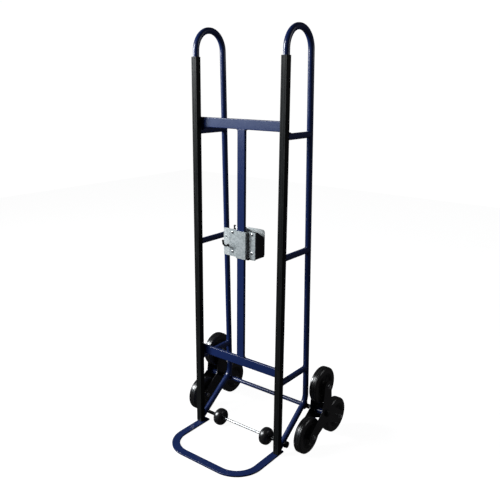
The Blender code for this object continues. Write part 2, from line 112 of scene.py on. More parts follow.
class Paint:
    """A finish: a Principled shader with its constants, and nodes for what varies."""

    def __init__(self, name, **constants):
        self.material = bpy.data.materials.new(name)
        self.material.use_nodes = True
        self.tree = self.material.node_tree
        self.shader = self.tree.nodes["Principled BSDF"]
        for key, value in constants.items():
            self.shader.inputs[key.replace("_", " ").title().replace("Ior", "IOR")].default_value = value
        self.place = self.node("ShaderNodeTexCoord", out="Object")

    def node(self, kind, settings=None, inputs=None, out=0):
        made = self.tree.nodes.new(kind)
        for key, value in (settings or {}).items():
            if key == "stops":
                self.set_stops(made.color_ramp, value)
            else:
                setattr(made, key, value)
        for key, value in (inputs or {}).items():
            self.feed(made.inputs[key], value)
        return Wire(self, made.outputs[out])

    def set_stops(self, ramp, stops):
        while len(ramp.elements) < len(stops):
            ramp.elements.new(1)
        for element, (at, colour) in zip(ramp.elements, stops):
            element.position = at
            element.color = colour

    def feed(self, socket, value):
        if isinstance(value, Wire):
            self.tree.links.new(value.socket, socket)
        else:
            socket.default_value = value

    def give(self, **varying):
        for key, value in varying.items():
            self.feed(self.shader.inputs[key.replace("_", " ").title()], value)
        return self

    def at(self, scale=(1, 1, 1), shift=(0, 0, 0), turn=(0, 0, 0)):
        return self.node("ShaderNodeMapping", None,
                         {"Vector": self.place, "Scale": scale, "Location": shift, "Rotation": turn})

    def noise(self, scale, detail=3, rough=0.5, at=None):
        return self.node("ShaderNodeTexNoise", None,
                         {"Vector": at or self.place, "Scale": scale, "Detail": detail,
                          "Roughness": rough})

    def spread(self, value, low, high, start=0.0, end=1.0):
        return self.node("ShaderNodeMapRange", {"clamp": True},
                         {"Value": value, "From Min": low, "From Max": high, "To Min": start,
                          "To Max": end})

    def mix(self, share, one, two):
        return self.node("ShaderNodeMix", {"data_type": "RGBA"}, {0: share, 6: one, 7: two}, out=2)

    def bump(self, height, distance, strength=1.0, under=None):
        inputs = {"Height": height, "Distance": distance, "Strength": strength}
        if under:
            inputs["Normal"] = under
        return self.node("ShaderNodeBump", None, inputs)


def grey(value, blue=1.0):
    return (value, value, value * blue, 1)


def navy_enamel():
    """Glossy powder coat with a faint orange peel and a little dust."""
    paint = Paint("navy_enamel", roughness=0.26, coat_weight=0.2, coat_roughness=0.08)
    flow = paint.noise(9, 2)
    dust = paint.spread(paint.noise(70, 5, 0.7), 0.52, 0.8)
    colour = paint.mix(flow, (0.0085, 0.0205, 0.092, 1), (0.0110, 0.0265, 0.120, 1))
    colour = paint.mix(dust * 0.025, colour, (0.16, 0.20, 0.28, 1))
    peel = paint.bump(paint.noise(620, 2), 0.00010, 0.35)
    return paint.give(base_color=colour, roughness=0.22 + dust * 0.03 + flow * 0.06, normal=peel)


def strip_plastic():
    """Extruded black edge strip: fine lines along its length and rubbed patches."""
    paint = Paint("strip_plastic", roughness=0.4, specular_ior_level=0.12)
    lines = paint.noise(1, 3, 0.6, paint.at((900, 900, 3)))
    rubbed = paint.spread(paint.noise(1, 4, 0.6, paint.at((60, 60, 9))), 0.5, 0.75)
    colour = paint.mix(lines, (0.0085, 0.0092, 0.0092, 1), (0.0135, 0.0145, 0.0145, 1))
    colour = paint.mix(rubbed * 0.35, colour, (0.034, 0.035, 0.036, 1))
    return paint.give(base_color=colour, roughness=0.36 + rubbed * 0.16,
                      normal=paint.bump(lines, 0.00006, 0.5))


def tyre_rubber():
    """Matt rubber with moulding grain and a worn, dusty tread."""
    paint = Paint("tyre_rubber", roughness=0.3, specular_ior_level=1.0)
    grain = paint.noise(1400, 2)
    cloud = paint.spread(paint.noise(45, 4, 0.65), 0.42, 0.75)
    colour = paint.mix(cloud, (0.0085, 0.0085, 0.0090, 1), (0.0165, 0.0160, 0.0160, 1))
    return paint.give(base_color=colour, roughness=0.26 + cloud * 0.12,
                      normal=paint.bump(grain, 0.00008, 0.5))


def moulded_black(name, low=0.0075, high=0.0115, roughness=0.38, grain_size=900):
    paint = Paint(name, roughness=roughness)
    cloud = paint.noise(30, 3, 0.6)
    colour = paint.mix(cloud, grey(low, 1.06), grey(high, 1.06))
    return paint.give(base_color=colour, roughness=roughness - 0.05 + cloud * 0.12,
                      normal=paint.bump(paint.noise(grain_size, 2), 0.00008, 0.45))


def black_enamel():
    """Black powder coat on the pressed steel pieces."""
    paint = Paint("black_enamel", roughness=0.28, coat_weight=0.25, coat_roughness=0.12)
    flow = paint.noise(14, 3)
    dust = paint.spread(paint.noise(90, 5, 0.7), 0.5, 0.8)
    colour = paint.mix(dust * 0.12, paint.mix(flow, grey(0.0055, 1.2), grey(0.0095, 1.2)), grey(0.12))
    return paint.give(base_color=colour, roughness=0.24 + dust * 0.2,
                      normal=paint.bump(paint.noise(560, 2), 0.00010, 0.4))


def zinc_plate():
    """Bright zinc on bolts, nuts and the thin axle, with a turned grain."""
    paint = Paint("zinc_plate", metallic=0.9, roughness=0.3)
    grain = paint.noise(1, 3, 0.6, paint.at((2200, 120, 120)))
    stain = paint.spread(paint.noise(160, 4, 0.6), 0.45, 0.75)
    colour = paint.mix(stain, (0.66, 0.68, 0.70, 1), (0.47, 0.48, 0.47, 1))
    return paint.give(base_color=colour, roughness=0.2 + grain * 0.14 + stain * 0.14,
                      normal=paint.bump(grain, 0.00002, 0.1))


def galvanised():
    """Galvanised sheet with crystals and rolling lines. The hat plate is painted darker, as painted
    shade, and the base plate behind it is painted brighter, as painted light.
    """
    paint = Paint("galvanised", metallic=0.35, roughness=0.42)
    crystal = paint.node("ShaderNodeTexVoronoi", {"feature": "F1"},
                         {"Vector": paint.at((150, 150, 190)), "Scale": 1.0, "Randomness": 1.0},
                         out="Color")
    shade = paint.node("ShaderNodeSeparateColor", None, {0: crystal})
    rolled = paint.noise(1, 3, 0.6, paint.at((1400, 1400, 40)))
    cloud = paint.noise(26, 3, 0.6)
    # painted light and shade: a shaded tone for the hat plate and a lit tone for the base plate behind
    # it, both from one sheet
    hat = paint.mix(shade, (0.43, 0.48, 0.49, 1), (0.56, 0.60, 0.61, 1))
    base = paint.mix(shade, (0.58, 0.63, 0.64, 1), (0.76, 0.80, 0.80, 1))
    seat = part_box("carriage_base_plate")[0].y
    depth = paint.node("ShaderNodeSeparateXYZ", None, {0: paint.place}, out="Y")
    # the mix by depth gives the painted lit tone behind the hat plate and the painted shaded tone on the
    # hat plate
    colour = paint.mix(paint.spread(depth, seat - 0.0003, seat), hat, base)
    colour = paint.mix(cloud * 0.2, colour, (0.56, 0.61, 0.62, 1))
    return paint.give(base_color=colour, roughness=0.34 + shade * 0.14 + rolled * 0.06,
                      normal=paint.bump(rolled, 0.00003, 0.4))


def webbing():
    """Woven black belt."""
    paint = Paint("webbing", roughness=0.85, sheen_weight=0.15)
    weave = paint.node("ShaderNodeTexWave", {"wave_type": "BANDS", "bands_direction": "Z"},
                       {"Vector": paint.place, "Scale": 210, "Distortion": 1.5, "Detail": 1})
    colour = paint.mix(weave, grey(0.006), grey(0.020))
    return paint.give(base_color=colour, normal=paint.bump(weave, 0.0003, 0.6))


def studio_floor():
    """A pale floor that stays nearly white, with only soft shadows."""
    paint = Paint("studio_floor", roughness=0.9, specular_ior_level=0.0, emission_strength=0.965)
    colour = paint.mix(paint.noise(2, 2), grey(0.20), grey(0.21))
    return paint.give(base_color=colour, emission_color=grey(1.0))


FINISH = {
    "blue_enamel": navy_enamel(),
    "strip_plastic": strip_plastic(),
    "tyre_rubber": tyre_rubber(),
    "black_plastic": moulded_black("black_plastic"),
    "black_steel": black_enamel(),
    "zinc": zinc_plate(),
    "galvanised": galvanised(),
    "webbing": webbing(),
}
for entry in frame["record"]["subparts"]:
    skin = frame["nodes"][entry["node"]].data.materials
    skin.clear()
    skin.append(FINISH[entry["material_slot"]].material)


# ---------------------------------------------------------------- shaping


def only_points(geom):
    return [g for g in geom if isinstance(g, bmesh.types.BMVert)]


def only_edges(geom):
    return [g for g in geom if isinstance(g, bmesh.types.BMEdge)]


def ends_of(geom):
    """The points of an extrusion's far end, with the edges between them."""
    points = {g for g in geom if isinstance(g, bmesh.types.BMVert)}
    lines = [g for g in geom if isinstance(g, bmesh.types.BMEdge) and set(g.verts) <= points]
    return list(points) + lines


def grow(work, geom, shift):
    """Extrudes a point, a line or a ring by a straight run."""
    lines = only_edges(geom)
    if lines:
        made = ends_of(bmesh.ops.extrude_edge_only(work, edges=lines)["geom"])
    else:
        made = bmesh.ops.extrude_vert_indiv(work, verts=geom)["verts"]
    bmesh.ops.translate(work, verts=only_points(made), vec=shift)
    return made


def follow(work, geom, corners, radii, steps=16):
    """Carries a point, a line or a ring along straight runs, with an arc at each inner corner."""
    corners = [Vector(c) for c in corners]
    here = corners[0]
    for before, corner, after, radius in zip(corners, corners[1:], corners[2:], radii):
        back, on = (before - corner).normalized(), (after - corner).normalized()
        half = back.angle(on) / 2
        turn = pi - 2 * half
        if radius == 0 or turn < 1e-4:
            geom = grow(work, geom, corner - here)
            here = corner
            continue
        start = corner + back * radius / tan(half)
        if (start - here).length > 1e-7:
            geom = grow(work, geom, start - here)
        count = max(2, round(steps * turn / (pi / 2)))
        geom = ends_of(bmesh.ops.spin(
            work, geom=geom, cent=corner + (back + on).normalized() * radius / sin(half),
            axis=on.cross(back), angle=turn, steps=count,
        )["geom_last"])
        here = corner + on * radius / tan(half)
    if (corners[-1] - here).length > 1e-7:
        geom = grow(work, geom, corners[-1] - here)
    return geom


def loop(work, corners, radii, steps=6):
    """A closed outline with rounded corners. Returns its edges."""
    corners = [Vector(c) for c in corners]
    radii = [radii] * len(corners) if isinstance(radii, (int, float)) else list(radii)
    start = (corners[-1] + corners[0]) / 2
    before = set(work.edges)
    follow(work, [work.verts.new(start)], [start, *corners, start], radii, steps)
    made = [e for e in work.edges if e not in before]
    bmesh.ops.remove_doubles(work, verts=list({v for e in made for v in e.verts}), dist=1e-6)
    return [e for e in work.edges if e not in before and e.is_valid]


def facing(spot, axis):
    """Takes what was made round Z to an axis through spot."""
    return Matrix.Translation(spot) @ Vector(axis).to_track_quat("Z", "Y").to_matrix().to_4x4()


def ring(work, centre, axis, radius, sides=40):
    """A circle of edges round an axis."""
    made = bmesh.ops.create_circle(work, cap_ends=False, segments=sides, radius=radius,
                                   matrix=facing(centre, axis))["verts"]
    return made + list({e for v in made for e in v.link_edges})


def cap(work, geom):
    bmesh.ops.edgeloop_fill(work, edges=only_edges(geom))


def soften(work, width, over=50, segments=2, pick=None):
    """Rounds the sharp edges."""
    sharp = [e for e in work.edges if e.is_manifold and e.calc_face_angle(0) > radians(over)]
    if pick:
        sharp = [e for e in sharp if pick(e)]
    bmesh.ops.bevel(work, geom=sharp, offset=width, offset_type="OFFSET", segments=segments, profile=0.5,
                    affect="EDGES", clamp_overlap=True, material=-1)


def slab(work, outlines, rise):
    """A plate from closed outlines, of which the first is its edge and the others are holes."""
    before = set(work.faces)
    edges = [e for outline in outlines for e in outline]
    bmesh.ops.triangle_fill(work, use_beauty=True, use_dissolve=False, edges=edges)
    made = [f for f in work.faces if f not in before]
    grown = bmesh.ops.extrude_face_region(work, geom=made)["geom"]
    bmesh.ops.translate(work, verts=only_points(grown), vec=rise)
    bmesh.ops.recalc_face_normals(work, faces=work.faces)


def box(work, low, high, width=0.0, segments=2):
    """A block with softened edges."""
    low, high = Vector(low), Vector(high)
    block = bmesh.new()
    place = Matrix.Translation((low + high) / 2) @ Matrix.Diagonal((*(high - low), 1))
    bmesh.ops.create_cube(block, size=1, matrix=place)
    if width:
        soften(block, width, segments=segments)
    add(work, block)


def add(work, part, matrix=None):
    """Copies one work mesh into another."""
    mesh = bpy.data.meshes.new("part")
    part.to_mesh(mesh)
    part.free()
    if matrix:
        mesh.transform(matrix)
    work.from_mesh(mesh)
    bpy.data.meshes.remove(mesh)


def lathe(work, points, centre, axis, steps=72, closed=False, fillet=0.0006):
    """Turns a section round an axis. Points are (radius, distance along the axis, optional fillet)."""
    part = bmesh.new()
    corners = [Vector((p[0], 0, p[1])) for p in points]
    radii = [p[2] if len(p) > 2 else fillet for p in points]
    if closed:
        loop(part, corners, radii, 5)
    else:
        follow(part, [part.verts.new(corners[0])], corners, radii[1:-1], 5)
    geom = list(part.verts) + list(part.edges)
    bmesh.ops.spin(part, geom=geom, cent=(0, 0, 0), axis=Z, angle=2 * pi, steps=steps, use_merge=True)
    bmesh.ops.remove_doubles(part, verts=part.verts, dist=2e-6)
    bmesh.ops.recalc_face_normals(part, faces=part.faces)
    add(work, part, facing(centre, axis))


def sleeve(work, bore, radius, start, end, centre, axis, steps=40, fillet=0.0006):
    """A plain tube or washer round an axis."""
    section = [(bore, start), (radius, start), (radius, end), (bore, end)]
    lathe(work, section, centre, axis, steps, closed=True, fillet=fillet)


def shrink(work, geom, share):
    """Scales an end ring about its middle."""
    points = only_points(geom)
    middle = sum((p.co for p in points), Vector()) / len(points)
    bmesh.ops.scale(work, verts=points, vec=(share,) * 3, space=Matrix.Translation(-middle))


def make(name, work, slot, body, *nodes, sharp=38):
    """Finishes a piece: closed doubles, outward faces, smooth shading with its crisp edges kept."""
    bmesh.ops.remove_doubles(work, verts=work.verts, dist=1e-6)
    bmesh.ops.recalc_face_normals(work, faces=work.faces)
    for face in work.faces:
        face.smooth = True
    for edge in work.edges:
        edge.smooth = not (edge.is_manifold and edge.calc_face_angle(0) > radians(sharp))
    mesh = bpy.data.meshes.new(name)
    work.to_mesh(mesh)
    work.free()
    mesh.materials.append(FINISH[slot].material)
    item = bpy.data.objects.new(name, mesh)
    bpy.context.scene.collection.objects.link(item)
    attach(item, body)
    if nodes:
        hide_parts(*nodes)
    flat_faces = item.modifiers.new("flat_faces", "WEIGHTED_NORMAL")
    flat_faces.keep_sharp = True
    return item


def leaving(point, direction, through, along, radius):
    """How far along direction a line from point leaves a tube."""
    across = direction - along * direction.dot(along)
    offset = (point - through) - along * (point - through).dot(along)
    middle = offset.dot(across) / across.length_squared
    inside = middle ** 2 - (offset.length_squared - radius ** 2) / across.length_squared
    return -middle + sqrt(max(inside, 0))


def weld(work, start, direction, branch_r, through, along, main_r, size=0.0021, steps=64):
    """A bead round the joint of a branch tube, which leaves start along direction, with a main tube."""
    bead = bmesh.new()
    side = direction.orthogonal().normalized()
    geom = ring(bead, start + side * (branch_r + size * 0.15), direction.cross(side), size, 10)
    bmesh.ops.spin(bead, geom=geom, cent=start, axis=direction, angle=2 * pi, steps=steps, use_merge=True)
    bmesh.ops.remove_doubles(bead, verts=bead.verts, dist=1e-6)
    up = direction.cross(side)
    for point in bead.verts:
        offset = point.co - start
        out = offset - direction * offset.dot(direction)
        spot = start + out.normalized() * branch_r
        ripple = 1 + 0.10 * sin(22 * atan2(out.dot(up), out.dot(side)))
        middle = start + out.normalized() * (branch_r + size * 0.15)
        point.co = middle + (point.co - middle) * ripple
        point.co += direction * leaving(spot, direction, through, along, main_r)
    add(work, bead)


def seam(work, start, end, size=0.0022):
    """A straight fillet of weld with rounded ends."""
    start, end = Vector(start), Vector(end)
    run = (end - start).length
    bead = bmesh.new()
    bmesh.ops.create_uvsphere(bead, u_segments=12, v_segments=8, radius=size)
    for point in bead.verts:
        if point.co.z > 1e-6:
            point.co.z += run
    add(work, bead, facing(start, (end - start).normalized()))


# ---------------------------------------------------------------- frame


LEG_DIRECTION = Vector((0, -LEG_LEAN, 1)).normalized()


def leg_point(x, z):
    return Vector((x, behind(leg_setback(z)), z))


def side_tube(side, sign):
    """The upright, hoop, rear leg and foot strut, bent from one tube."""
    x = sign * TRACK
    work = bmesh.new()
    corners = [(x, FRONT, FOOT_Z), (x, FRONT, HOOP_TOP), leg_point(x, HOOP_TOP), leg_point(x, KNEE_Z),
               (x, behind(STRUT_END[0]), STRUT_END[1])]
    corners = [Vector(c) for c in corners]
    foot = ring(work, corners[0], Z, TUBE_R, 40)
    cap(work, foot)
    strut = (corners[4] - corners[3]).normalized()
    corners[4] -= strut * 0.03
    end = follow(work, foot, corners, (HOOP_R, HOOP_R, KNEE_R), 20)
    for point in only_points(end):
        reach = leaving(point.co, strut * -1, corners[0], Z, TUBE_R - 0.0004)
        point.co += strut * -reach
    cap(work, end)
    lug_centre = Vector((x, AXLE.y, AXLE.z))
    lug = [(-0.030, 0.012), (-0.015, -0.0145), (0.015, -0.0145), (0.005, 0.046)]
    plate = bmesh.new()
    edge = loop(plate, [lug_centre + Vector((-0.004, u, v)) for u, v in lug], 0.012, 6)
    slab(plate, [edge], Vector((0.008, 0, 0)))
    soften(plate, 0.0008)
    add(work, plate)
    make(f"side_tube_{side}", work, "blue_enamel", "frame", f"side_frame_{side}")


def rungs(side, sign):
    x = sign * TRACK
    upright = Vector((x, FRONT, 0))
    beads = bmesh.new()
    for level in ("top", "middle", "bottom"):
        low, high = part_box(f"rung_{level}_{side}")
        z = (low.z + high.z) / 2
        start, end = Vector((x, FRONT, z)), leg_point(x, z)
        work = bmesh.new()
        first = ring(work, start + Y * 0.04, Y, TUBE_R, 40)
        last = grow(work, first, end - start - Y * 0.08)
        for geom, way, through, along in ((first, Y, upright, Z), (last, Y * -1, end, LEG_DIRECTION)):
            for point in only_points(geom):
                base = point.co - way * way.dot(point.co - through)
                point.co = base + way * leaving(base, way, through, along, TUBE_R - 0.0003)
            cap(work, geom)
        make(f"rung_tube_{level}_{side}", work, "blue_enamel", "frame", f"rung_{level}_{side}")
        weld(beads, start, Y, TUBE_R, upright, Z, TUBE_R)
        weld(beads, end, Y * -1, TUBE_R, end, LEG_DIRECTION, TUBE_R)
    knee = leg_point(x, KNEE_Z)
    foot = Vector((x, behind(STRUT_END[0]), STRUT_END[1]))
    weld(beads, foot, (knee - foot).normalized(), TUBE_R, upright, Z, TUBE_R, 0.0018)
    for bar in ("cross_bar_top", "cross_bar_bottom"):
        low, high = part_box(bar)
        for shift in (-0.0065, 0.0055):
            spot = Vector((x + shift, low.y - 0.0012, 0))
            seam(beads, spot + Z * (low.z + 0.001), spot + Z * (high.z - 0.001))
    low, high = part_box("cross_bar_top")
    inside = sign * (TRACK - TUBE_R + 0.001)
    corners = [(inside, low.z + 0.001), (inside - sign * 0.019, low.z + 0.001), (inside, low.z - 0.016)]
    gusset = bmesh.new()
    slab(gusset, [loop(gusset, [(u, high.y - 0.0070, v) for u, v in corners], 0.0012, 3)], Y * 0.005)
    add(beads, gusset)
    box(beads, (x - 0.0105, low.y + 0.001, low.z - 0.008), (x + 0.0105, high.y - 0.001, low.z + 0.001),
        0.0015)
    lathe(beads, [(TUBE_R - 0.001, -0.0006), (TUBE_R + 0.0016, -0.0006), (TUBE_R, 0.0016),
                  (TUBE_R - 0.001, 0.0016)], (x, FRONT, FOOT_Z), Z, 48, closed=True, fillet=0.0003)
    for face in (-1, 1):
        spot = (x + face * 0.0042, AXLE.y, AXLE.z)
        lathe(beads, [(0.0090, 0), (0.0118, 0), (0.0096, 0.0020), (0.0090, 0.0020)], spot, X * face, 40,
              closed=True, fillet=0.0003)
    make(f"frame_welds_{side}", beads, "blue_enamel", "frame")


def bar(name, node, radius):
    """A rectangular tube with rounded corners, closed at its ends."""
    low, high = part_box(node)
    work = bmesh.new()
    size = high - low
    long = max(range(3), key=lambda i: size[i])
    across = [i for i in range(3) if i != long]

    def corner(u, v):
        spot = Vector(low)
        spot[across[0]] = (low, high)[u][across[0]]
        spot[across[1]] = (low, high)[v][across[1]]
        return spot

    section = loop(work, [corner(0, 0), corner(1, 0), corner(1, 1), corner(0, 1)], radius, 6)
    shift = Vector((0, 0, 0))
    shift[long] = size[long]
    slab(work, [section], shift)
    soften(work, 0.0005)
    return make(name, work, "blue_enamel", "frame", node)


def bars():
    bar("top_bar", "cross_bar_top", 0.0028)
    bar("bottom_bar", "cross_bar_bottom", 0.0028)
    bar("slide_bar", "centre_bar", 0.0030)
    low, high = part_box("centre_bar")
    beads = bmesh.new()
    for z, way in ((low.z, 1), (high.z, -1)):
        level = z + way * 0.0006
        for x in (low.x - 0.0004, high.x + 0.0004):
            seam(beads, (x, low.y + 0.0012, level), (x, high.y - 0.0012, level), 0.0024)
        for y in (low.y + 0.0009, high.y - 0.0009):
            edge = z - way * 0.0002
            seam(beads, (low.x + 0.001, y, edge), (high.x - 0.001, y, edge), 0.0013)
    make("bar_welds", beads, "blue_enamel", "frame")


def edge_strip(side, sign):
    """Black channel over the front of the upright, with rounded outer corners and two shallow grooves."""
    low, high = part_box(f"edge_strip_{side}")
    x, half, wall = sign * TRACK, (high.x - low.x) / 2, 0.0016
    inner = half - wall
    outline = [(-half, high.y), (-half, low.y), (-0.0062, low.y), (-0.0055, low.y + 0.0007),
               (-0.0048, low.y), (0.0048, low.y), (0.0055, low.y + 0.0007), (0.0062, low.y),
               (half, low.y), (half, high.y), (inner, high.y), (inner, low.y + wall),
               (-inner, low.y + wall), (-inner, high.y)]
    radii = [0.0005, 0.0034, 0, 0, 0, 0, 0, 0, 0.0034, 0.0005, 0.0003, 0.0020, 0.0020, 0.0003]
    work = bmesh.new()
    section = loop(work, [(x + u, v, low.z) for u, v in outline], radii, 6)
    slab(work, [section], Z * (high.z - low.z))
    make(f"upright_strip_{side}", work, "strip_plastic", "frame", f"edge_strip_{side}")


def toe_bow():
    """Flat bar bent into a bow on the floor."""
    low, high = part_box("toe_frame")
    wide, thick, mid_z = 0.0343, high.z - low.z, (low.z + high.z) / 2
    half, front = high.x - wide / 2, low.y + wide / 2
    work = bmesh.new()
    start = Vector((-half, high.y, mid_z))
    corner = Vector((wide / 2, 0, thick / 2))
    section = [start + Vector((u * corner.x, 0, v * corner.z))
               for u, v in ((-1, -1), (1, -1), (1, 1), (-1, 1))]
    edge = loop(work, section, 0.0018, 4)
    first = list({v for e in edge for v in e.verts}) + edge
    radius = 0.125 - wide / 2
    path = [start, (-half, front, mid_z), (half, front, mid_z), (half, high.y, mid_z)]
    last = follow(work, first, path, (radius, radius), 28)
    cap(work, first)
    cap(work, last)
    make("toe_bow", work, "blue_enamel", "frame", "toe_frame")


# ---------------------------------------------------------------- stair wheels


def span(node):
    """The nearest and farthest distance of a side's turned piece from the middle, and its radius."""
    low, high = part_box(node)
    return (*sorted((abs(low.x), abs(high.x))), (high.z - low.z) / 2)


def axles():
    low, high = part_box("main_axle")
    rod, spacer = 0.0092, (high.z - low.z) / 2
    inner, outer = TRACK + 0.0050, CLUSTER_LOW.x - 0.0046
    work = bmesh.new()
    centre = (0, AXLE.y, AXLE.z)
    lathe(work, [(0, high.x), (rod, high.x, 0.001), (rod, low.x, 0.001), (0, low.x)], centre, X, 40)
    make("axle_rod", work, "blue_enamel", "frame", "main_axle")
    for side, sign in SIDES.items():
        work = bmesh.new()
        sleeve(work, rod + 0.0002, spacer, inner, outer, centre, X * sign)
        sleeve(work, spacer, spacer + 0.0002, inner + 0.0002, inner + 0.002, centre, X * sign, 40, 0.0001)
        make(f"axle_sleeve_{side}", work, "black_plastic", "frame")
        start, end, radius = span(f"axle_cap_{side}")
        work = bmesh.new()
        lathe(work, [(0, end), (0.0085, end, 0.003), (radius - 0.0006, end - 0.0035, 0.003),
                     (radius - 0.0006, start + 0.0032, 0.0004), (radius, start + 0.0026, 0.0004),
                     (radius, start, 0.0005), (0, start)], centre, X * sign, 56)
        make(f"axle_end_cap_{side}", work, "black_plastic", "frame", f"axle_cap_{side}")


def wheel_spots(sign):
    return [Vector((sign * CLUSTER_X, AXLE.y + ARM * cos(a), AXLE.z + ARM * sin(a))) for a in WHEEL_TURNS]


def spider(side, sign):
    """Two pressed plates with three arms, on a short tube round the axle."""
    waist_r, arm_half, bend = 0.043, 0.025, 0.024
    for which in ("inner", "outer"):
        node = f"cluster_plate_{which}_{side}"
        low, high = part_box(node)
        work = bmesh.new()
        centre = Vector((low.x, AXLE.y, AXLE.z))
        corners, radii = [], []
        for turn in WHEEL_TURNS:
            out = Vector((0, cos(turn), sin(turn)))
            across = Vector((0, -sin(turn), cos(turn)))
            waist = Vector((0, cos(turn - pi / 3), sin(turn - pi / 3)))
            corners += [centre + waist * waist_r, centre + out * (ARM + arm_half) - across * arm_half,
                        centre + out * (ARM + arm_half) + across * arm_half]
            radii += [bend] * 3
        outlines = [loop(work, corners, radii, 12), only_edges(ring(work, centre, X, 0.0096, 32))]
        for spot in wheel_spots(sign):
            outlines.append(only_edges(ring(work, Vector((low.x, spot.y, spot.z)), X, 0.0056, 24)))
        slab(work, outlines, X * (high.x - low.x))
        soften(work, 0.0007)
        make(f"spider_plate_{which}_{side}", work, "black_steel", f"cluster_{side}", node)
    low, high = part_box(f"cluster_hub_{side}")
    half, centre = (high.x - low.x) / 2, Vector((sign * CLUSTER_X, AXLE.y, AXLE.z))
    work = bmesh.new()
    outer = (high.z - low.z) / 2
    lathe(work, [(outer, half), (outer, -half), (0.0096, -half), (0.0096, half)], centre, X, 56,
          closed=True)
    for end in (-1, 1):
        lathe(work, [(outer - 0.001, 0), (outer + 0.0026, 0), (outer, 0.0028), (outer - 0.001, 0.0028)],
              centre + X * end * half, X * -end, 56, closed=True, fillet=0.0006)
    make(f"hub_tube_{side}", work, "blue_enamel", f"cluster_{side}", f"cluster_hub_{side}")
    work = bmesh.new()
    lathe(work, [(outer + 0.0003, 0.0030), (outer + 0.0050, 0.0030), (outer + 0.0040, 0.0085),
                 (outer + 0.0003, 0.0085)],
          centre - X * sign * half, X * sign, 56, closed=True, fillet=0.0012)
    make(f"hub_collar_{side}", work, "black_steel", f"cluster_{side}")


def stair_wheel(side, number, centre):
    """Rubber tyre with three ribs on a moulded wheel centre with spokes in its recess."""
    half = WHEEL_HALF
    inner = 0.0523
    crown = [(inner, 0.0158, 0.0006), (0.0560, 0.0166, 0.001), (0.0578, 0.0173, 0.001),
             (WHEEL_R - 0.0075, half, 0.003), (WHEEL_R - 0.0042, half - 0.0006, 0.003),
             (WHEEL_R - 0.0007, half - 0.0042, 0.0020), (WHEEL_R, 0.0085, 0.0020),
             (WHEEL_R, 0.0068, 0.0004), (WHEEL_R - 0.0020, 0.0061, 0.0005),
             (WHEEL_R - 0.0020, 0.0045, 0.0005), (WHEEL_R, 0.0038, 0.0004)]
    work = bmesh.new()
    lathe(work, crown + [(r, -h, f) for r, h, f in crown[::-1]], centre, X, 112, closed=True)
    wheel = f"stair_wheel_{side}_{number}"
    make(f"tread_{side}_{number}", work, "tyre_rubber", wheel, f"tyre_{side}_{number}")
    low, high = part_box(f"rim_{side}_{number}")
    hub, lip, web, bore = (high.x - low.x) / 2, 0.0148, 0.0104, 0.0055
    dish = [(bore, hub, 0.0008), (0.0130, hub, 0.0012), (0.0160, 0.0190, 0.002),
            (0.0168, web + 0.0012, 0.002), (0.0200, web + 0.0012, 0.0008), (0.0212, web, 0.0008),
            (0.0420, web, 0.002), (0.0448, lip - 0.0010, 0.0014), (0.0470, lip, 0.0010),
            (0.0512, lip, 0.0010), (0.0520, lip - 0.0020, 0.0004)]
    work = bmesh.new()
    lathe(work, dish + [(r, -h, f) for r, h, f in dish[::-1]], centre, X, 96, closed=True)
    for spoke in range(6):
        turn = Matrix.Translation(centre) @ Matrix.Rotation(spoke * pi / 3 + pi / 6, 4, "X")
        for way in (-1, 1):
            rib = bmesh.new()
            near = way * 0.0095
            box(rib, (near - 0.0020, -0.0012, 0.0150), (near + 0.0020, 0.0012, 0.0440), 0.0006)
            add(work, rib, turn)
    make(f"wheel_centre_{side}_{number}", work, "black_plastic", wheel, f"rim_{side}_{number}")


def hexagon(work, centre, axis, flats, start, end, chamfer=0.0009, bore=0.0):
    """A hexagon with chamfered corners, from start to end along its axis."""
    part = bmesh.new()
    radius = flats / sqrt(3)
    bmesh.ops.create_cone(part, cap_ends=True, segments=6, radius1=radius, radius2=radius,
                          depth=end - start)
    rim = [e for e in part.edges if abs(e.verts[0].co.z - e.verts[1].co.z) < 1e-6]
    bmesh.ops.bevel(part, geom=rim, offset=chamfer, offset_type="OFFSET", segments=2, profile=0.5,
                    affect="EDGES", clamp_overlap=True, material=-1)
    add(work, part, facing(Vector(centre) + Vector(axis) * (start + end) / 2, axis))


def wheel_bolt(side, number, sign, centre):
    """Hexagon bolt with washers, and a lock nut on the outer side."""
    low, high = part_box(f"wheel_bolt_{side}_{number}")
    end = (high.x - low.x) / 2
    plate = 0.0328
    work = bmesh.new()
    lathe(work, [(0, end - 0.0004), (0.0046, end - 0.0004, 0.0008), (0.0051, end - 0.0016, 0.0002),
                 (0.0051, -end + 0.004), (0, -end + 0.004)], centre, X * sign, 32)
    for way, tall in ((1, 0.0078), (-1, 0.0060)):
        axis = X * sign * way
        sleeve(work, 0.0054, 0.0095, plate, plate + 0.0013, centre, axis, fillet=0.0003)
        hexagon(work, centre, axis, 0.0150, plate + 0.0014, plate + 0.0014 + tall, 0.0008)
    lathe(work, [(0.0050, plate + 0.0085), (0.0066, plate + 0.0085), (0.0063, plate + 0.0106, 0.0006),
                 (0.0050, plate + 0.0106)], centre, X * sign, 40, closed=True, fillet=0.0003)
    make(f"bolt_and_nut_{side}_{number}", work, "zinc", f"cluster_{side}", f"wheel_bolt_{side}_{number}")


# ---------------------------------------------------------------- small wheels


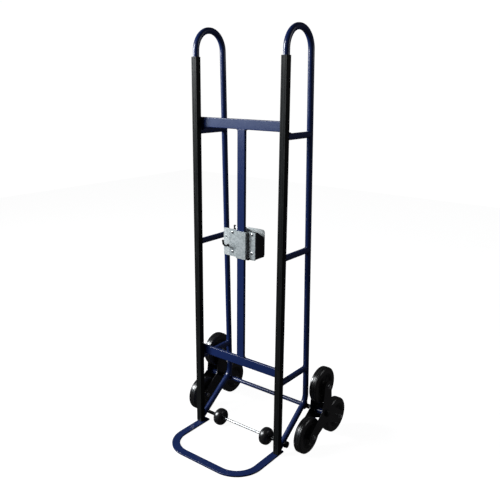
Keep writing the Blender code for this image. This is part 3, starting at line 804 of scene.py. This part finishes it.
def small_running_gear():
    low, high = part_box("small_axle")
    centre = Vector((0, (low.y + high.y) / 2, (low.z + high.z) / 2))
    rod, collar = 0.0050, (high.z - low.z) / 2
    work = bmesh.new()
    lathe(work, [(0, high.x), (rod, high.x, 0.0008), (rod, low.x, 0.0008), (0, low.x)], centre, X, 36)
    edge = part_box("small_wheel_right")[0].x - 0.0005
    for sign in (-1, 1):
        sleeve(work, rod, collar, edge, edge - 0.0012, centre, X * sign, fillet=0.0003)
        sleeve(work, rod, 0.0072, edge - 0.0014, edge - 0.0060, centre, X * sign, 32, 0.0003)
    make("thin_axle", work, "zinc", "frame", "small_axle")
    for side, sign in SIDES.items():
        near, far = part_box(f"small_wheel_{side}")
        middle, half, radius = (near + far) / 2, (far.x - near.x) / 2, (far.z - near.z) / 2
        bore = 0.0053
        face = [(bore, half - 0.0006, 0.0004), (0.0104, half - 0.0006, 0.0008),
                (0.0116, half - 0.0050, 0.0012), (0.0215, half - 0.0056, 0.0020),
                (0.0238, half - 0.0008, 0.0012), (0.0262, half - 0.0002, 0.0008),
                (radius - 0.0084, half - 0.0004, 0.0030), (radius - 0.0024, half * 0.70, 0.010),
                (radius, half * 0.2, 0.012)]
        work = bmesh.new()
        lathe(work, face + [(r, -h, f) for r, h, f in face[::-1]], middle, X, 96, closed=True)
        make(f"small_tyre_{side}", work, "tyre_rubber", f"small_wheel_{side}", f"small_wheel_{side}")
        start, end, radius = span(f"small_axle_spacer_{side}")
        work = bmesh.new()
        sleeve(work, bore, radius, start, end, centre, X * sign)
        make(f"thin_axle_spacer_{side}", work, "black_plastic", "frame", f"small_axle_spacer_{side}")
        start, end, radius = span(f"small_axle_cap_{side}")
        work = bmesh.new()
        lathe(work, [(0, end), (0.0080, end, 0.0025), (radius - 0.0008, end - 0.0030, 0.0022),
                     (radius - 0.0008, start + 0.0026, 0.0004), (radius, start + 0.0020, 0.0004),
                     (radius, start, 0.0004), (0, start)], centre, X * sign, 48)
        make(f"thin_axle_cap_{side}", work, "black_plastic", "frame", f"small_axle_cap_{side}")


# ---------------------------------------------------------------- carriage


def sheet_metal(work, section, low, high, thick, radii=0.0022):
    """Bent sheet: a section in plan with rounded bends, given its wall and its height."""
    strip = bmesh.new()
    corners = [Vector((u, v, low)) for u, v in section]
    bends = [radii] * (len(corners) - 2)
    follow(strip, [strip.verts.new(corners[0])], corners, bends, 6)
    lines = list(strip.edges)
    up = ends_of(bmesh.ops.extrude_edge_only(strip, edges=lines)["geom"])
    bmesh.ops.translate(strip, verts=only_points(up), vec=Z * (high - low))
    bmesh.ops.recalc_face_normals(strip, faces=strip.faces)
    mesh = bpy.data.meshes.new("sheet")
    strip.to_mesh(mesh)
    strip.free()
    holder = bpy.data.objects.new("sheet", mesh)
    bpy.context.scene.collection.objects.link(holder)
    wall = holder.modifiers.new("wall", "SOLIDIFY")
    wall.thickness, wall.offset, wall.use_even_offset = thick, 0, True
    bpy.context.view_layer.update()
    solid = bpy.data.meshes.new_from_object(holder.evaluated_get(bpy.context.evaluated_depsgraph_get()))
    bpy.data.objects.remove(holder)
    part = bmesh.new()
    part.from_mesh(solid)
    bpy.data.meshes.remove(solid)
    bmesh.ops.recalc_face_normals(part, faces=part.faces)
    soften(part, 0.0004, over=70, segments=2)
    add(work, part)


def rivet(work, spot, axis, radius=0.0065, tall=0.0028):
    lathe(work, [(0, tall), (radius * 0.55, tall * 0.92, 0.004), (radius * 0.9, tall * 0.5, 0.002),
                 (radius, 0, 0.0002), (0, 0)], spot, axis, 36)


def carriage():
    low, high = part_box("carriage_front_plate")
    sheet = 0.0025
    flange, crown = high.y - sheet / 2, low.y + sheet / 2
    left, right = -0.0228, 0.0282
    section = [(low.x, flange), (left, flange), (left, crown), (right, crown), (right, flange),
               (high.x, flange)]
    work = bmesh.new()
    sheet_metal(work, section, low.z, high.z, sheet - 0.0001)
    make("hat_plate", work, "galvanised", "carriage", "carriage_front_plate")
    work = bmesh.new()
    flange_front = low.y + 0.0147
    for x, lift, drop in ((-0.0505, 0.0200, 0.0145), (0.0505, 0.0290, 0.0095)):
        for z in (low.z + lift, high.z - drop):
            rivet(work, (x, flange_front, z), Y * -1)
    for x in (-0.0555, 0.0510):
        for z in (low.z + 0.0225, high.z - 0.0120):
            rivet(work, (x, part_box("carriage_base_plate")[1].y, z), Y, 0.0048, 0.0018)
    make("carriage_rivets", work, "zinc", "carriage")
    base_low, base_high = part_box("carriage_base_plate")
    work = bmesh.new()
    corners = [(base_low.x, base_low.y, base_low.z), (base_high.x, base_low.y, base_low.z),
               (base_high.x, base_low.y, base_high.z), (base_low.x, base_low.y, base_high.z)]
    boss = Vector((-0.0865, base_low.y, 0.8925))
    outline = loop(work, corners, 0.003, 5)
    slab(work, [outline, only_edges(ring(work, boss, Y, 0.0026, 24))], Y * (base_high.y - base_low.y))
    soften(work, 0.0004)
    lathe(work, [(0.0026, -0.0002), (0.0044, -0.0002), (0.0062, 0.0009, 0.0006), (0.0082, -0.0002),
                 (0.0026, -0.0006)], boss, Y * -1, 40, closed=True, fillet=0.0003)
    make("base_plate", work, "galvanised", "carriage", "carriage_base_plate")


def winch():
    low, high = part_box("winch_bracket")
    sheet = 0.0025
    work = bmesh.new()
    web = high.y - sheet
    base = low.z + 0.0002
    corners = [(low.x, web, base), (high.x, web, base), (high.x, web, high.z), (low.x, web, high.z)]
    slab(work, [loop(work, corners, (0.001, 0.006, 0.012, 0.002), 8)], Y * sheet)
    soften(work, 0.0004)
    shelf_levels, shelf_end = (0.8220, 0.9035), 0.0485
    for z in shelf_levels:
        box(work, (low.x, low.y, z - sheet / 2), (shelf_end, web + 0.001, z + sheet / 2), 0.0004)
    make("winch_frame", work, "galvanised", "carriage", "winch_bracket")
    low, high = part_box("winch_cover")
    work = bmesh.new()
    wall, dip = 0.0022, 0.041
    shape = [(low.y, high.z)]
    run = high.y - low.y
    shape += [(low.y + run * i / 6, high.z - dip * (i / 6) ** 1.6) for i in range(1, 7)]
    outer = [(low.y, low.z), (high.y, low.z)] + shape[::-1]
    radii = [0.002, 0.002, 0.003] + [0.012] * 5 + [0.003]
    slab(work, [loop(work, [(high.x - wall, u, v) for u, v in outer], radii, 5)], X * wall)
    soften(work, 0.0011, over=60, pick=lambda e: all(v.co.x > high.x - 1e-4 for v in e.verts))
    shell = bmesh.new()
    edge = loop(shell, [(low.x, u, v) for u, v in outer], radii, 5)
    inner = [(low.y + wall, low.z + wall), (high.y - wall, low.z + wall)]
    inner += [(min(max(u, low.y + wall), high.y - wall), v - wall) for u, v in shape[::-1]]
    bends = [max(r - wall, 0.0005) for r in radii]
    slab(shell, [edge, loop(shell, [(low.x, u, v) for u, v in inner], bends, 5)],
         X * (high.x - wall - low.x - 0.0001))
    add(work, shell)
    make("winch_side_cover", work, "black_plastic", "carriage", "winch_cover")


def winch_spool():
    low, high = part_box("belt_roll")
    centre = (low + high) / 2
    axis = Vector((centre.x, centre.y, 0))
    radius = (high.x - low.x) / 2
    work = bmesh.new()
    turns = [(0.0064, low.z + 0.001, 0.0003)]
    turns += [(r, low.z + 0.0010 * (i % 2), 0.0003) for i, r in
              enumerate([0.0064 + (radius - 0.0066) * k / 16 for k in range(1, 17)])]
    profile = turns + [(radius, low.z + 0.0006, 0.0008), (radius, high.z - 0.0006, 0.0008)]
    profile += [(r, low.z + high.z - z, f) for r, z, f in turns[::-1]]
    lathe(work, profile, axis, Z, 96, closed=True, fillet=0.0003)
    make("wound_belt", work, "webbing", "spool", "belt_roll")
    low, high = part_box("ratchet_spool")
    shaft, teeth, tip, root = 0.0060, 12, 0.0200, 0.0155
    work = bmesh.new()
    lathe(work, [(0, high.z), (shaft, high.z, 0.0008), (shaft, low.z, 0.0008), (0, low.z)], axis, Z, 40)
    gear = bmesh.new()
    outline, radii = [], []
    gear_z = 0.9057
    for tooth in range(teeth):
        start = 2 * pi * tooth / teeth + pi / teeth
        for turn, reach, round_off in ((0, root, 0.0006), (1.8 * pi / teeth, tip, 0.0005)):
            outline.append(axis + Vector((cos(start + turn) * reach, sin(start + turn) * reach, gear_z)))
            radii.append(round_off)
    slab(gear, [loop(gear, outline, radii, 3)], Z * 0.005)
    soften(gear, 0.0003, over=70)
    add(work, gear)
    lathe(work, [(0, high.z - 0.0004), (0.0085, high.z - 0.0004, 0.0006),
                 (0.0085, high.z - 0.0018, 0.0002), (0, high.z - 0.0018)], axis, Z, 40)
    make("spool_and_ratchet", work, "black_steel", "spool", "ratchet_spool")


def lever():
    spool_low, spool_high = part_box("ratchet_spool")
    spool = (spool_low + spool_high) / 2
    angle, offset = radians(144), 0.0095
    toward = Vector((cos(angle), sin(angle), 0))
    front = Vector((-toward.y, toward.x, 0))
    low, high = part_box("ratchet_lever")

    def spot(distance, side, z):
        return Vector((spool.x, spool.y, z)) + toward * distance + front * side

    def bar_shape(work, start, end, half, bottom, top, radius, tip):
        corners = [spot(start, offset, bottom), spot(end, offset, bottom), spot(end, offset, top),
                   spot(start, offset, top)]
        corners = [c - front * half for c in corners]
        part = bmesh.new()
        slab(part, [loop(part, corners, (radius, tip, tip, radius), 6)], front * half * 2)
        soften(part, min(0.0005, half * 0.4))
        add(work, part)

    work = bmesh.new()
    bar_shape(work, -0.014, 0.118, 0.0022, low.z, high.z, 0.003, 0.004)
    base = Vector((spool.x, spool.y, 0))
    sleeve(work, 0.0063, 0.0125, low.z, low.z + 0.004, base, Z, 48, 0.0004)
    pin = spot(0.034, offset, 0)
    lathe(work, [(0, low.z - 0.0002), (0.0026, low.z - 0.0002), (0.0026, high.z + 0.0004, 0.0006),
                 (0, high.z + 0.0004)], pin, Z, 24)
    make("lever_arm", work, "black_steel", "lever", "ratchet_lever")
    grip_low, grip_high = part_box("lever_grip")
    work = bmesh.new()
    part = bmesh.new()
    start, end, half = 0.062, 0.122, 0.0055
    height = grip_high.z - grip_low.z
    section = [spot(start, offset - half, grip_low.z), spot(start, offset + half, grip_low.z),
               spot(start, offset + half, grip_high.z), spot(start, offset - half, grip_high.z)]
    edge = loop(part, section, 0.0035, 6)
    geom = list({v for e in edge for v in e.verts}) + edge
    cap(part, geom)
    ribs = 9
    for _ in range(ribs):
        for share, size in ((0.55, 1.0), (0.15, 0.88), (0.15, 0.88), (0.15, 1.0)):
            geom = grow(part, geom, toward * (end - start - 0.006) / ribs * share)
            points = only_points(geom)
            middle = sum((p.co for p in points), Vector()) / len(points)
            wide = max((p.co - middle).length for p in points)
            target = sqrt(half ** 2 + (height / 2) ** 2) * size * 0.93
            shrink(part, geom, target / wide)
    geom = grow(part, geom, toward * 0.006)
    shrink(part, geom, 0.7)
    cap(part, geom)
    add(work, part)
    make("grip_sleeve", work, "black_plastic", "lever", "lever_grip")


def pawls():
    low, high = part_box("release_knob")
    centre = Vector(((low.x + high.x) / 2, (low.y + high.y) / 2, 0))
    top, base, radius = high.z, low.z, (high.x - low.x) / 2
    work = bmesh.new()
    lathe(work, [(0, top), (0.0036, top, 0.0012), (radius, top - 0.0022, 0.0012),
                 (radius, top - 0.0070, 0.0010), (0.0031, top - 0.0096, 0.0016),
                 (radius, top - 0.0122, 0.0010), (radius, top - 0.0182, 0.0008),
                 (0.0030, top - 0.0200, 0.0004), (0.0030, base), (0, base)], centre, Z, 40)
    make("pawl_knob", work, "black_plastic", "holding_pawl", "release_knob")
    work = bmesh.new()
    knob = centre + Z * 0.9365
    toward = Vector((1, -0.12, 0)).normalized()
    lathe(work, [(0, 0), (0.0011, 0), (0.0011, 0.0165, 0.0004), (0, 0.0165)], knob, toward, 20)
    make("pawl_pins", work, "zinc", "holding_pawl")


def strap_hook():
    low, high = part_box("strap_hook")
    x, radius, drop = (low.x + high.x) / 2, (high.x - low.x) / 2 + 0.0010, 0.0045
    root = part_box("carriage_base_plate")[0].y - 0.0004
    corners = [(x, root, 0.8620 - drop), (x, behind(0.0120), 0.8620 - drop),
               (x, behind(-0.0040), 0.8700 - drop), (x, behind(-0.0080), 0.8925 - drop)]
    corners = [Vector(c) for c in corners]
    work = bmesh.new()
    start = ring(work, corners[0], Y, radius * 0.86, 28)
    cap(work, start)
    tip = (corners[3] - corners[2]).normalized()
    corners[3] -= tip * 0.0022
    end = follow(work, start, corners, (0.020, 0.020), 10)
    end = grow(work, end, tip * 0.0014)
    shrink(work, end, 0.6)
    cap(work, end)
    for step in range(5):
        spot = corners[3] - tip * (0.0006 + step * 0.0042)
        sleeve(work, radius * 0.8, radius, -0.0009, 0.0009, spot, tip, 28, 0.0004)
    lathe(work, [(0, 0.0002), (0.0062, 0.0002, 0.0006), (0.0062, 0.0020, 0.0006), (0, 0.0020)],
          corners[0], Y * -1, 36)
    make("hook_rod", work, "black_plastic", "carriage", "strap_hook")


def slide_blocks():
    """Plastic liners between the centre bar and the hat plate."""
    low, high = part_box("centre_bar")
    plate_low, plate_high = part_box("carriage_front_plate")
    work = bmesh.new()
    for start, end in ((-0.0212, low.x - 0.0006), (high.x + 0.0006, 0.0266)):
        for z in (plate_low.z - 0.0006, plate_high.z - 0.0250):
            box(work, (start, low.y - 0.0001, z), (end, high.y + 0.0004, z + 0.024), 0.0006)
    box(work, (0.0298, plate_low.y + 0.0040, plate_low.z - 0.0010),
        (0.0390, plate_high.y - 0.0027, plate_low.z + 0.0100), 0.0008)
    make("slide_liners", work, "black_plastic", "carriage")


for side_name, side_sign in SIDES.items():
    side_tube(side_name, side_sign)
    rungs(side_name, side_sign)
    edge_strip(side_name, side_sign)
    spider(side_name, side_sign)
    for wheel_number, wheel_spot in enumerate(wheel_spots(side_sign), 1):
        stair_wheel(side_name, wheel_number, wheel_spot)
        wheel_bolt(side_name, wheel_number, side_sign, wheel_spot)
bars()
toe_bow()
axles()
small_running_gear()
carriage()
winch()
winch_spool()
lever()
pawls()
strap_hook()
slide_blocks()


# ---------------------------------------------------------------- studio


def studio():
    scene = bpy.context.scene
    scene.view_settings.view_transform = "Standard"
    work = bmesh.new()
    bmesh.ops.create_grid(work, x_segments=8, y_segments=8, size=6)
    mesh = bpy.data.meshes.new("studio_floor")
    work.to_mesh(mesh)
    work.free()
    mesh.materials.append(studio_floor().material)
    floor = bpy.data.objects.new("studio_floor", mesh)
    floor.location.z = -0.0004
    scene.collection.objects.link(floor)
    floor.visible_glossy = floor.visible_diffuse = False

    world = bpy.data.worlds.new("studio")
    scene.world = world
    world.use_nodes = True
    nodes, links = world.node_tree.nodes, world.node_tree.links
    path = nodes.new("ShaderNodeLightPath")
    seen = nodes.new("ShaderNodeMix")
    seen.data_type = "RGBA"
    seen.inputs[6].default_value = (0.033, 0.032, 0.034, 1)
    seen.inputs[7].default_value = (1.02, 1.02, 1.02, 1)
    links.new(path.outputs["Is Camera Ray"], seen.inputs[0])
    links.new(seen.outputs[2], nodes["Background"].inputs["Color"])

    def panel(name, spot, aim, wide, tall, power, colour):
        light = bpy.data.lights.new(name, "AREA")
        light.shape, light.size, light.size_y = "RECTANGLE", wide, tall
        light.energy, light.color = power, colour
        item = bpy.data.objects.new(name, light)
        item.location = spot
        item.rotation_euler = (Vector(aim) - Vector(spot)).to_track_quat("-Z", "Y").to_euler()
        scene.collection.objects.link(item)

    panel("key_panel", (-2.8, -2.0, 2.15), (0, 0, 0.9), 0.9, 0.9, 135, (0.95, 0.98, 1.0))
    panel("front_left_panel", (-1.4, -1.9, 2.35), (0, 0, 0.5), 1.0, 1.0, 40, (0.95, 0.98, 1.0))
    panel("horizon_panel", (-1.7, -2.6, 1.24), (0, 0, 1.27), 1.4, 0.30, 3.8, (0.72, 0.86, 1.0))
    panel("left_panel", (-3.4, 0.3, 0.9), (0, 0, 0.5), 1.3, 1.8, 8, (0.62, 0.84, 1.0))
    panel("rear_panel", (3.1, 1.6, 2.3), (0, 0, 0.7), 1.6, 1.6, 12, (0.97, 0.98, 1.0))


def camera():
    data = bpy.data.cameras.new("camera")
    data.lens, data.sensor_width = 44.47, 36
    item = bpy.data.objects.new("camera", data)
    yaw, pitch, roll = radians(37.62254), radians(-15.36225), radians(0.486397)
    ahead = Vector((-sin(yaw) * cos(pitch), cos(yaw) * cos(pitch), sin(pitch)))
    right = Vector((cos(yaw), sin(yaw), 0))
    up = right.cross(ahead)
    right, up = right * cos(roll) + up * sin(roll), up * cos(roll) - right * sin(roll)
    turn = Matrix((right, up, -ahead)).transposed().to_4x4()
    item.matrix_world = Matrix.Translation((1.50625, -1.87638 + FRONT, 1.51635)) @ turn
    bpy.context.scene.collection.objects.link(item)
    bpy.context.scene.camera = item


studio()
camera()
